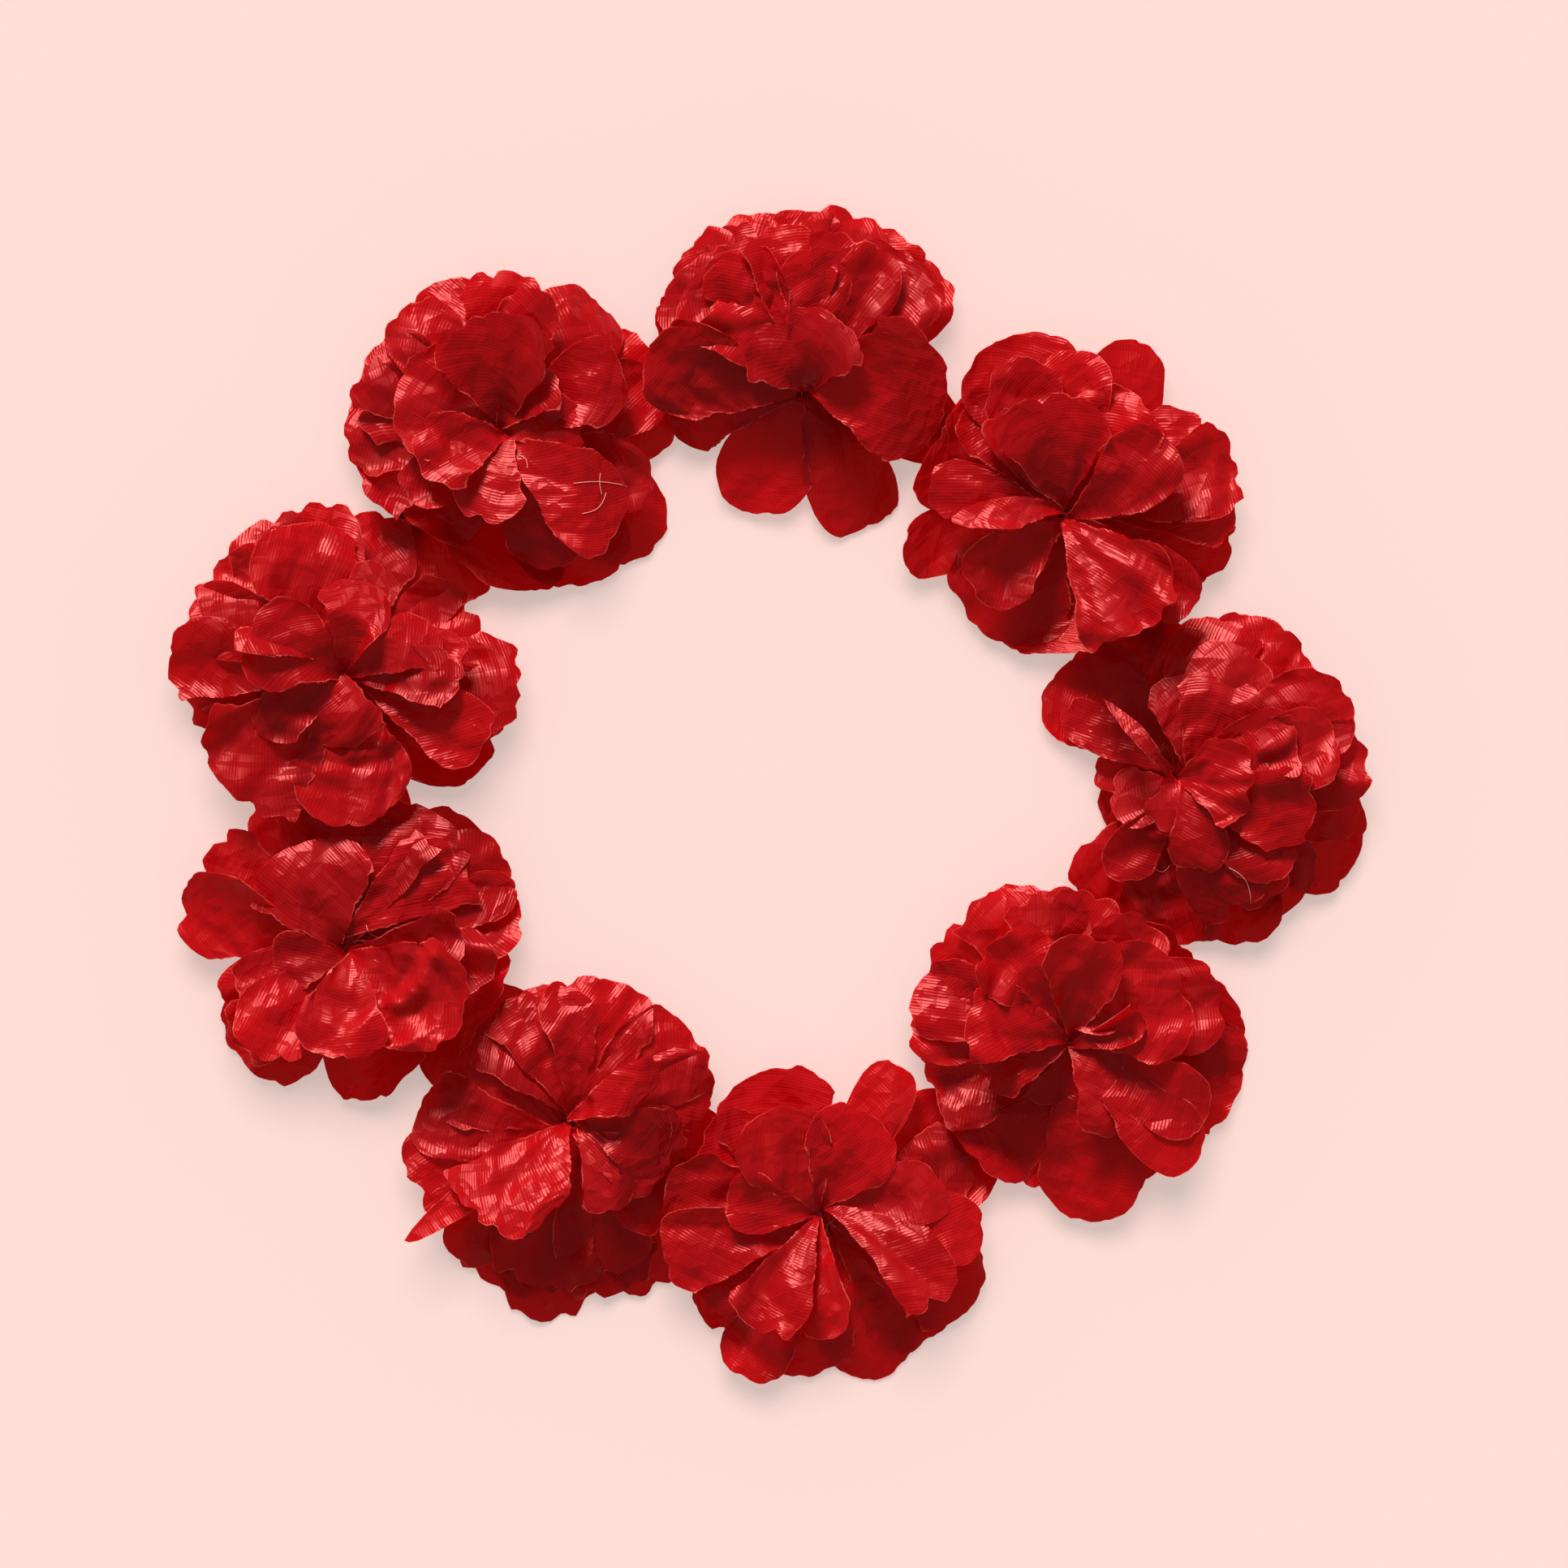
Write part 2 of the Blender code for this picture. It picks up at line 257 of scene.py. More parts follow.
# The petals
# Every bloom has its petals in layers, the lowest first. A petal's row holds its bearing in degrees
# from +X, its reach from the bloom's middle in mm, how far it spreads to each side, the slope of its root
# and of its tip, how far its sides bend up, its roll, how far one side is folded up (its near side if
# negative), how far its rim is curled up, in degrees, and the name of its cut.

cloth = {
    "thickness": 0.16,
    "meshStep": 0.95,
    "floor": 0.8,
    "floorStep": 0.1,
    "floorSoftness": 0.8,
    "rootRadius": 1.2,
    "rootHeight": 8.0,
    "rootShift": 2.2,
    "layerStep": 0.26,
    "droop": 9,
    "droopLayers": (0.0, 0.55),
    "pitRise": 24,
    "pitLayers": (0.35, 0.8),
    "pitShare": 0.30,
    "steepest": 80,
    "spineSteps": 60,
    "rimShare": 0.8,
    "unevenRoll": 9,
    "sway": 0.08,
    "grainTurn": 80,
    "boltLength": 50,
    "endPower": (2.0, 4.6),
    "pointedPower": 1.2,
    "lopsided": 0.14,
    "scallopPitch": 7.5,
    "dentPlace": 0.6,
    "dentDepth": 2.0,
    "dentWidth": 0.14,
    "ragged": 0.22,
    "sideWave": 0.10,
    "foldLine": 0.4,
    "gatherPitch": (6, 18),
    "sharedGather": 0.5,
    "ownGather": 0.6,
    "wavePitch": (9, 20),
    "creasePitch": (3, 11),
    "billowScale": 0.05,
    "patchScale": 0.09,
    "fullReach": 38,
}

# The cuts of the petals: how many degrees they spread more, how round their ends are, how deep
# their rims are scalloped, and how high they pleat, wave, crumple and billow, in mm.

cuts = {
    "plain": {
        "more": 5, "ends": (0.20, 0.34), "scallop": 0.5,
        "pleats": 0.6, "waves": 1.2, "crumple": 0.8, "billow": 1.5,
    },
    "round": {
        "more": 0, "ends": (0.36, 0.44), "scallop": 0.3,
        "pleats": 0.4, "waves": 0.9, "crumple": 0.5, "billow": 1.4,
    },
    "pointed": {
        "more": 0, "ends": (0.55, 0.65), "scallop": 0.4,
        "pleats": 1.4, "waves": 0.8, "crumple": 0.8, "billow": 1.0,
    },
    "wavy": {
        "more": 6, "ends": (0.14, 0.30), "scallop": 1.0,
        "pleats": 1.0, "waves": 1.8, "crumple": 0.9, "billow": 1.4,
    },
    "ruffled": {
        "more": 7, "ends": (0.10, 0.24), "scallop": -1.6,
        "pleats": 1.3, "waves": 2.4, "crumple": 1.0, "billow": 1.4,
    },
    "pleated": {
        "more": 7, "ends": (0.10, 0.24), "scallop": 1.1,
        "pleats": 1.9, "waves": 1.4, "crumple": 0.9, "billow": 1.0,
    },
    "creased": {
        "more": 5, "ends": (0.16, 0.32), "scallop": 0.9,
        "pleats": 0.9, "waves": 1.6, "crumple": 1.6, "billow": 1.4,
    },
    "curtain": {
        "more": 4, "ends": (0.12, 0.24), "scallop": -1.8,
        "pleats": 2.6, "waves": 2.0, "crumple": 1.2, "billow": 0.8,
    },
    "broad": {
        "more": 4, "ends": (0.20, 0.30), "scallop": 0.6,
        "pleats": 0.5, "waves": 1.0, "crumple": 0.9, "billow": 1.2,
    },
}
broadRoot = 6.0  # how far behind the middle a broad petal starts
heartPetal = (15, 66, 2, -2, 0, 0, 0, 0, "broad")  # three of these close a bloom's middle from below

blooms = [
    [
        (348, 37, 12, 5, -2, 4, 0, 0, 0, "plain"), (296, 35, 25, 3, -6, 0, 0, 0, 0, "round"),
        (244, 31, 31, 4, -4, 0, -4, 0, 0, "round"), (190, 34, 10, 5, 0, 4, -8, 0, 0, "plain"),
        (340, 30, 14, 14, 0, 16, -10, 0, 0, "creased"), (156, 39, 12, 14, -8, 6, 0, 0, 0, "ruffled"),
        (36, 42, 14, 14, -12, 4, 0, 0, 0, "wavy"), (56, 42, 14, 14, -12, 4, 0, 0, 0, "ruffled"),
        (79, 42.5, 12, 15, -14, 4, 0, 0, 0, "wavy"), (96, 41.5, 12, 16, -14, 4, 0, 0, 0, "pleated"),
        (110, 43, 12, 16, -14, 4, 0, 0, 0, "ruffled"), (124, 41.5, 10, 16, -14, 4, 0, 0, 0, "pleated"),
        (140, 39, 16, 16, -12, 4, 0, 0, 0, "wavy"), (176, 36.5, 16, 14, 0, 4, -12, 0, 0, "plain"),
        (166, 36, 20, 18, -6, 4, -10, 0, 0, "plain"), (48, 40, 16, 12, -10, 8, 0, 0, 0, "pleated"),
        (126, 36, 22, 15, -10, 8, 0, 0, 0, "plain"), (68, 37, 14, 18, -10, 10, 10, 0, 0, "pleated"),
        (92, 38, 12, 18, -12, 8, 0, 0, 0, "pleated"), (108, 35, 12, 20, -4, 8, -10, 0, 0, "pleated"),
        (80, 32, 13, 22, -8, 6, 4, 0, 0, "wavy"), (4, 37.5, 34, 22, -4, 2, 14, 0, 0, "plain"),
        (134, 28, 14, 22, -8, 4, 0, 0, 0, "ruffled"), (99, 19.5, 62, 46, -12, 2, 0, 0, 0, "plain"),
    ],
    [
        (270, 40.5, 30, 3, -5, 2, 0, 0, 0, "round"), (326, 43.5, 16, 3, -4, 2, 0, 0, 0, "plain"),
        (297, 41, 20, 4, -4, 2, 0, 0, 0, "plain"), (28, 38, 20, 6, -3, 6, 0, 0, 0, "plain"),
        (5, 40, 20, 5, -3, 6, 0, 0, 0, "plain"), (232, 33, 18, 6, -5, 6, 0, 0, 0, "plain"),
        (346, 36.5, 14, 12, 4, 8, 0, 0, 0, "plain"), (200, 35.5, 15, 12, -6, 6, 0, 0, 0, "wavy"),
        (182, 36.5, 14, 14, -10, 6, 0, 0, 0, "ruffled"), (165, 34, 12, 18, -10, 6, 0, 0, 0, "wavy"),
        (150, 36, 13, 20, -10, 6, 0, 0, 0, "ruffled"), (133, 36, 13, 22, -12, 6, 0, 0, 0, "wavy"),
        (114, 37, 12, 24, -42, 2, 0, 0, 0, "plain"), (91, 36.5, 11, 24, -14, 4, 0, 0, 0, "pleated"),
        (77, 34.5, 10, 26, -10, 4, 0, 0, 0, "wavy"), (56, 37, 19, 20, -42, 2, 0, 0, 0, "plain"),
        (20, 32, 20, 16, -2, 8, 0, 0, 0, "plain"), (288, 34, 18, 4, -14, 2, 0, 0, 0, "plain"),
        (212, 27, 14, 18, -4, 10, 0, 0, 0, "creased"), (91, 26.5, 34, 37, 6, 10, 0, 0, 0, "pleated"),
        (324, 38, 20, 18, 12, 4, 0, 0, 0, "plain"), (50, 19, 24, 32, 4, 10, 0, 0, 0, "plain"),
        (252, 23, 22, 26, 12, 2, 12, 0, 0, "plain"), (168, 27, 28, 30, 2, 6, 0, 0, 0, "broad"),
        (6, 19, 26, 22, -8, 4, 0, 0, 0, "plain"), (196, 22, 30, 30, 6, 4, 10, 0, 0, "creased"),
    ],
    [
        (318, 39.5, 24, 3, -5, 2, 0, 0, 0, "round"), (272, 36, 26, 4, -5, 2, 0, 0, 0, "plain"),
        (58, 41, 20, 4, -3, 4, 0, 0, 0, "plain"), (82, 38.5, 14, 8, -4, 6, 0, 0, 0, "plain"),
        (30, 33, 18, 8, -2, 6, 0, 0, 0, "wavy"), (184, 36, 12, 8, -3, 6, 0, 0, 0, "plain"),
        (201, 37, 12, 12, -6, 6, 0, 0, 0, "ruffled"), (345, 38, 12, 10, -2, 8, 0, 0, 0, "wavy"),
        (3, 39.5, 12, 16, -6, 8, 0, 0, 0, "ruffled"), (101, 40, 13, 20, -14, 4, 0, 0, 0, "ruffled"),
        (125, 41, 12, 20, -16, 4, 0, 0, 0, "wavy"), (140, 40, 11, 20, -16, 4, 0, 0, 0, "ruffled"),
        (153, 39.5, 11, 20, -14, 4, 0, 0, 0, "wavy"), (169, 40.5, 9, 18, -6, 6, 0, 0, 0, "pleated"),
        (222, 38, 20, 18, -2, 4, 0, 0, 0, "pleated"), (338, 36, 13, 20, 8, 4, 0, 0, 0, "plain"),
        (277, 35, 27, 8, 2, 2, 0, 0, 0, "creased"), (108, 37, 20, 14, -2, 4, 0, 0, 0, "plain"),
        (75, 33, 7, 34, 4, 10, 0, 0, 0, "creased"), (22, 30, 14, 26, 0, 10, 0, 0, 0, "wavy"),
        (5, 27.5, 17, 34, 0, 10, 0, 0, 0, "creased"), (36, 27, 17, 34, 2, 12, 0, 0, 0, "plain"),
        (154, 26, 28, 34, 0, 6, 0, 0, 0, "plain"), (204, 24, 16, 24, -8, 6, 0, 0, 0, "creased"),
        (180, 25.5, 4, 42, 6, 2, 26, 0, 0, "pleated"), (74, 27, 22, 36, 10, 6, 0, -45, 0, "plain"),
        (264, 19, 44, 34, -30, 4, 0, 0, 0, "plain"),
    ],
    [
        (88, 41, 24, 4, -3, 4, 0, 0, 0, "plain"), (118, 39.5, 14, 6, -3, 4, 0, 0, 0, "wavy"),
        (322, 35, 20, 4, -4, 4, 0, 0, 0, "plain"), (236, 36, 20, 5, -5, 4, 0, 0, 0, "wavy"),
        (283, 37.5, 18, 7, -4, 4, 0, 0, 0, "wavy"), (45, 40.5, 16, 8, -3, 6, 0, 0, 0, "plain"),
        (145, 38.5, 7, 12, -2, 10, 0, 0, 0, "ruffled"), (348, 40, 14, 10, -6, 6, 0, 0, 0, "wavy"),
        (8, 40.5, 12, 14, -6, 6, 0, 0, 0, "wavy"), (24, 41.5, 12, 16, -10, 6, 0, 0, 0, "wavy"),
        (166, 39.5, 14, 14, -6, 8, -10, 0, 0, "plain"), (222, 34.5, 10, 12, -4, 6, 0, 0, 0, "ruffled"),
        (208, 31, 12, 14, -4, 6, 0, 0, 0, "ruffled"), (198, 27, 16, 18, -2, 8, 0, 0, 0, "plain"),
        (54, 37, 18, 8, -12, 6, 0, 0, 0, "pleated"), (350, 35, 10, 24, -6, 8, 0, 0, 0, "creased"),
        (232, 32.5, 15, 22, 6, 4, 0, 0, 0, "pleated"), (68, 31, 16, 6, -12, 6, 0, 0, 0, "pleated"),
        (38, 33, 14, 8, -10, 6, 0, 0, 0, "pleated"), (8, 28, 12, 34, -4, 10, 0, 0, 0, "wavy"),
        (114, 26, 36, 8, -8, 4, 0, 0, 0, "plain"), (186, 18, 24, 26, -6, 8, 0, 0, 0, "plain"),
        (262, 26, 26, 26, 12, 4, 0, 0, 0, "creased"), (334, 32, 30, 26, 6, 2, 0, 0, 0, "creased"),
        (286, 16, 26, 26, -24, 4, 0, 0, 0, "broad"),
    ],
    [
        (262, 45.5, 13, 2, -4, 2, 0, 0, 0, "ruffled"), (242, 41.5, 13, 3, -4, 2, 0, 0, 0, "ruffled"),
        (284, 40, 14, 3, -4, 2, 0, 0, 0, "ruffled"), (303, 43, 13, 3, -4, 2, 0, 0, 0, "plain"),
        (226, 40, 13, 4, -4, 2, 0, 0, 0, "wavy"), (140, 39, 24, 4, -2, 4, 0, 0, 0, "plain"),
        (338, 39, 22, 4, -3, 4, 0, 0, 0, "plain"), (255, 38, 17, 9, -8, 4, 0, 0, 0, "ruffled"),
        (290, 36, 17, 9, -8, 4, 0, 0, 0, "wavy"), (318, 33, 16, 10, -4, 6, 0, 0, 0, "wavy"),
        (152, 32, 18, 13, 0, 6, 0, 0, 0, "pleated"), (197, 39, 14, 14, 0, 4, 0, 0, 0, "pleated"),
        (177, 37.5, 14, 14, 0, 4, 0, 0, 0, "pleated"), (20, 34.5, 14, 16, -16, 4, 0, 0, 0, "pleated"),
        (128, 32, 18, 16, -14, 4, 0, 0, 0, "pleated"), (45, 35, 19, 16, -18, 4, 0, 0, 0, "pleated"),
        (103, 33, 20, 16, -20, 4, 0, 0, 0, "pleated"), (75, 34.5, 21, 16, -22, 4, 0, 0, 0, "pleated"),
        (214, 47.5, 9, 16, -2, 14, 14, 0, 0, "pointed"), (350, 30, 13, 22, -4, 8, 0, 0, 0, "wavy"),
        (328, 28, 13, 24, -6, 8, 0, 0, 0, "ruffled"), (342, 27, 17, 30, -10, 4, 0, 0, 0, "creased"),
        (302, 24, 17, 38, -12, 6, 0, 0, 0, "plain"), (11, 26.5, 15, 38, 4, 6, -14, 0, 0, "creased"),
        (245, 29.5, 32, 38, 14, 2, 14, 0, 0, "curtain"),
    ],
    [
        (289, 41, 16, 3, -5, 2, 0, 0, 0, "plain"), (312, 39.5, 15, 4, -5, 2, 0, 0, 0, "plain"),
        (262, 38, 20, 5, -5, 2, 0, 0, 0, "plain"), (224, 37, 16, 5, -4, 4, 0, 0, 0, "wavy"),
        (337, 41, 16, 7, -5, 4, 0, 0, 0, "plain"), (32, 43, 22, 3, -3, 4, 0, 0, 0, "plain"),
        (10, 36, 16, 8, -3, 6, 0, 0, 0, "wavy"), (245, 41.5, 9, 12, -4, 4, 0, 0, 0, "creased"),
        (66, 39, 15, 12, -2, 6, 0, 0, 0, "round"), (112, 35, 24, 8, 0, 4, 0, 0, 0, "plain"),
        (136, 33, 14, 10, 0, 6, 0, 0, 0, "plain"), (208, 34, 15, 12, -4, 6, 0, 0, 0, "plain"),
        (170, 37, 14, 12, -2, 8, 0, 0, 0, "pleated"), (192, 37, 13, 16, -4, 8, 0, -30, 0, "wavy"),
        (352, 40, 8, 18, -4, 4, -14, 0, 0, "pleated"), (281, 29, 9, 24, 4, 4, 10, 0, 0, "pleated"),
        (20, 31, 15, 22, 0, 6, 0, 0, 0, "plain"), (60, 27, 30, 24, 4, 4, 0, 0, 0, "plain"),
        (118, 27, 30, 26, 4, 4, 0, 0, 0, "plain"), (170, 22, 20, 26, -2, 8, 0, 0, 0, "plain"),
        (323, 36.5, 12, 28, 2, 0, -14, 0, 0, "pleated"), (249, 30, 17, 28, 4, 2, 12, 0, 0, "curtain"),
    ],
    [
        (10, 41.5, 20, 4, -3, 4, 0, 0, 0, "plain"), (347, 41.5, 17, 5, -3, 4, 0, 0, 0, "wavy"),
        (250, 37, 11, 3, -4, 4, 0, 0, 0, "ruffled"), (306, 37, 14, 6, -4, 4, 0, 0, 0, "wavy"),
        (46, 38, 16, 6, -3, 6, 0, 0, 0, "plain"), (231, 39, 18, 5, -4, 4, 0, 0, 0, "plain"),
        (277, 42.5, 15, 12, -6, 2, 0, 0, 0, "plain"), (22, 36, 18, 12, -3, 6, 0, 0, 0, "plain"),
        (211, 35, 12, 16, -2, 6, 8, 0, 0, "creased"), (194, 35, 12, 18, -8, 6, 0, 0, 0, "wavy"),
        (177, 36.5, 12, 20, -12, 4, 0, 0, 0, "pleated"), (160, 37, 12, 22, -14, 4, 0, 0, 0, "pleated"),
        (141, 37.5, 11, 22, -14, 4, 0, 0, 0, "ruffled"), (117, 38.5, 14, 24, -14, 4, 0, 0, 0, "wavy"),
        (99, 34.5, 13, 24, -8, 4, 0, 0, 0, "wavy"), (80, 34, 13, 18, -4, 6, 0, 0, 0, "plain"),
        (60, 33, 16, 20, -2, 8, 0, 0, 0, "wavy"), (318, 40.5, 11, 14, -4, 6, 0, 0, 0, "plain"),
        (333, 36, 14, 16, -6, 6, 0, 0, 0, "plain"), (125, 29, 20, 34, -4, 8, 0, 0, 0, "creased"),
        (20, 30, 32, 26, 0, 6, 0, 0, 0, "plain"), (86, 25.5, 24, 40, 12, 8, 0, 0, 0, "plain"),
        (165, 25.5, 22, 34, -10, 4, 0, 0, 14, "creased"), (196, 22, 18, 22, -10, 6, 0, 0, 0, "plain"),
        (16, 19, 11, 34, 16, 10, 0, 40, 0, "ruffled"), (318, 25, 30, 12, -20, 4, 0, 0, 0, "plain"),
        (250, 17, 44, 20, -26, 4, 0, 0, 0, "broad"), (352, 12, 14, 40, 20, 8, -20, 0, 0, "ruffled"),
    ],
    [
        (106, 38, 24, 4, -3, 4, 0, 0, 0, "plain"), (139, 37.5, 20, 5, -3, 4, 0, 0, 0, "plain"),
        (168, 20, 18, 4, -2, 4, 0, 0, 0, "round"), (214, 19, 16, 4, -2, 4, 0, 0, 0, "round"),
        (246, 37, 22, 4, -3, 4, 0, 0, 0, "pleated"), (266, 38, 16, 5, -3, 4, 0, 0, 0, "pleated"),
        (334, 44, 15, 4, -4, 4, 0, 0, 0, "plain"), (316, 38.5, 15, 5, -4, 4, 0, 0, 0, "wavy"),
        (295, 41, 12, 7, -2, 4, 0, 0, 0, "plain"), (155, 31, 14, 4, -2, 4, 0, 0, 0, "round"),
        (196, 17.5, 28, 6, 0, 4, 0, 0, 0, "plain"), (232, 28, 13, 6, 0, 4, 0, 0, 0, "plain"),
        (87, 36, 14, 8, -3, 6, 0, 0, 0, "plain"), (74, 38.5, 13, 14, -8, 6, 0, 0, 0, "wavy"),
        (350, 41, 10, 10, -5, 6, 0, 0, 0, "plain"), (49, 41.5, 18, 10, -12, 6, 0, 0, 0, "pleated"),
        (4, 43, 10, 20, -12, 6, 0, 0, 0, "ruffled"), (27, 42.5, 14, 20, -12, 6, 0, 0, 0, "wavy"),
        (286, 36, 8, 14, -2, 6, 0, 0, 0, "plain"), (311, 34, 11, 14, 0, 6, 0, 0, 0, "pleated"),
        (297, 33, 10, 18, 0, 6, 0, 0, 0, "plain"), (323, 32, 20, 20, -4, 6, 0, 0, 0, "plain"),
        (60, 33, 18, 10, -12, 6, 0, 0, 0, "wavy"), (12, 36, 15, 28, -10, 6, 0, 0, 0, "creased"),
        (345, 32, 16, 28, -8, 6, 0, 0, 0, "ruffled"), (26, 28, 17, 37, -8, 8, 0, 0, 0, "creased"),
        (98, 24, 16, 12, -10, 8, 0, 0, 0, "plain"), (130, 33.5, 7, 30, 6, 4, 12, 0, 0, "pointed"),
        (68, 26, 24, 12, -12, 6, 0, 0, 0, "creased"), (284, 24, 18, 30, -10, 6, 0, 0, 0, "wavy"),
        (4, 18, 42, 40, 6, 4, 0, 0, 0, "curtain"), (258, 13, 30, 24, -24, 4, 0, 0, 0, "plain"),
    ],
    [
        (300, 37.0, 30, 3, -5, 2, 0, 0, 0, "round"), (264, 36.5, 26, 3, -6, 2, 0, 0, 0, "plain"),
        (184, 41, 17, 6, -2, 6, 0, 0, 0, "round"), (330, 38, 16, 5, -3, 4, 0, 0, 0, "plain"),
        (232, 33, 30, 9, -8, 2, 0, 0, 0, "plain"), (160, 39, 14, 5, -3, 4, 0, 0, 0, "plain"),
        (349, 39.5, 12, 9, -2, 6, 0, 0, 0, "wavy"), (62, 43, 21, 13, -6, 4, 0, 0, 0, "round"),
        (108, 42.5, 20, 14, -7, 4, 0, 0, 0, "plain"), (140, 36, 12, 12, -4, 6, 0, 0, 0, "wavy"),
        (0, 39, 10, 16, -6, 6, 0, 0, 0, "wavy"), (27, 38, 11, 20, -10, 6, 0, 0, 0, "wavy"),
        (12, 41, 11, 20, -12, 6, 0, 0, 0, "ruffled"), (90, 37, 12, 18, -4, 6, 0, 0, 0, "plain"),
        (118, 37, 13, 24, -6, 6, 0, 0, 0, "creased"), (328, 36.5, 11, 16, 4, 6, 0, 0, 0, "plain"),
        (215, 28, 20, 18, -6, 6, 0, 0, 0, "plain"), (124, 33, 14, 8, -12, 6, 0, 0, 0, "creased"),
        (160, 31.5, 11, 10, -4, 6, 0, 0, 0, "plain"), (54, 32, 18, 22, -4, 6, 0, 0, 0, "wavy"),
        (92, 27.5, 28, 37, 2, 8, 0, 0, 0, "pleated"), (32, 30, 21, 36, -4, 6, 0, 0, 0, "plain"),
        (136, 29, 10, 26, -10, 2, 0, 0, 0, "plain"), (187, 28, 18, 30, -2, 4, 12, 0, 0, "pointed"),
        (310, 33, 26, 30, -4, 0, 0, 0, 10, "curtain"),
    ],
]

# The planes at which neighbours lean on each other: the first bloom of a pair lies over the second.

leaning = {
    "height": 12,
    "slant": 60,
    "clear": 0.35,
    "pageStep": 0.1,
    "softness": 0.8,
    "pairs": [(1, 2), (2, 3), (3, 4), (4, 5), (6, 5), (7, 6), (7, 8), (9, 8), (9, 1)],
}


def bloomMiddle(number):
    low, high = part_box(f"knot_{number}")
    return Vector(((low[0] + high[0]) / 2, (low[1] + high[1]) / 2, 0)) / mm


def leaningPlanes(number):
    planes = []
    slant = math.radians(leaning["slant"])
    for over, under in leaning["pairs"]:
        if number not in (over, under):
            continue
        first, second = bloomMiddle(over), bloomMiddle(under)
        origin = (first + second) / 2 + Vector((0, 0, leaning["height"]))
        normal = Vector((0, 0, math.sin(slant))) - (second - first).normalized() * math.cos(slant)
        planes.append((origin, normal if number == over else -normal, number == over))
    return planes


def spine(reach, rise, tip, rim, steeper):
    # distance out, height and slope at each step along the petal's middle, and its length
    steps, steepest = cloth["spineSteps"], cloth["steepest"]
    out, height = 0.0, 0.0
    outs, heights, slopes = [0.0], [0.0], [math.radians(min(rise + steeper, steepest))]
    for step in range(steps):
        share = (step + 0.5) / steps
        slope = rise + (tip - rise) * share + rim * smooth(share, cloth["rimShare"], 1.0)
        slope += steeper * (1 - smooth(share, 0.0, cloth["pitShare"]))
        slope = math.radians(min(slope, steepest))
        out += math.cos(slope) / steps
        height += math.sin(slope) / steps
        outs.append(out)
        heights.append(height)
        slopes.append(slope)
    length = (reach - cloth["rootRadius"]) / max(outs)
    return outs, heights, slopes, length


def along(values, share):
    # the value at a share of the way along a list
    place = min(max(share, 0), 1) * (len(values) - 1)
    index = min(int(place), len(values) - 2)
    return values[index] + (values[index + 1] - values[index]) * (place - index)


def foldedTurns(seed, pitch):
    # cloth folded to and fro round a full turn: its height at each half degree, with a crease at each fold
    draw = random.Random(seed)
    places, heights = [0.0], [draw.uniform(0.3, 1)]
    while places[-1] < 360 - pitch[1]:
        places.append(places[-1] + draw.uniform(*pitch))
        heights.append(-math.copysign(draw.uniform(0.3, 1), heights[-1]))
    places.append(360.0)
    heights.append(heights[0])
    values, index = [], 0
    for half in range(720):
        while places[index + 1] < half / 2:
            index += 1
        share = (half / 2 - places[index]) / (places[index + 1] - places[index])
        values.append(heights[index] + (heights[index + 1] - heights[index]) * share)
    return values


def foldAt(values, place):
    # the height of folded cloth at a place, with 360 to a turn
    place = place * 2 % 720
    index = int(place)
    first, second = values[index % 720], values[(index + 1) % 720]
    return first + (second - first) * (place - index)


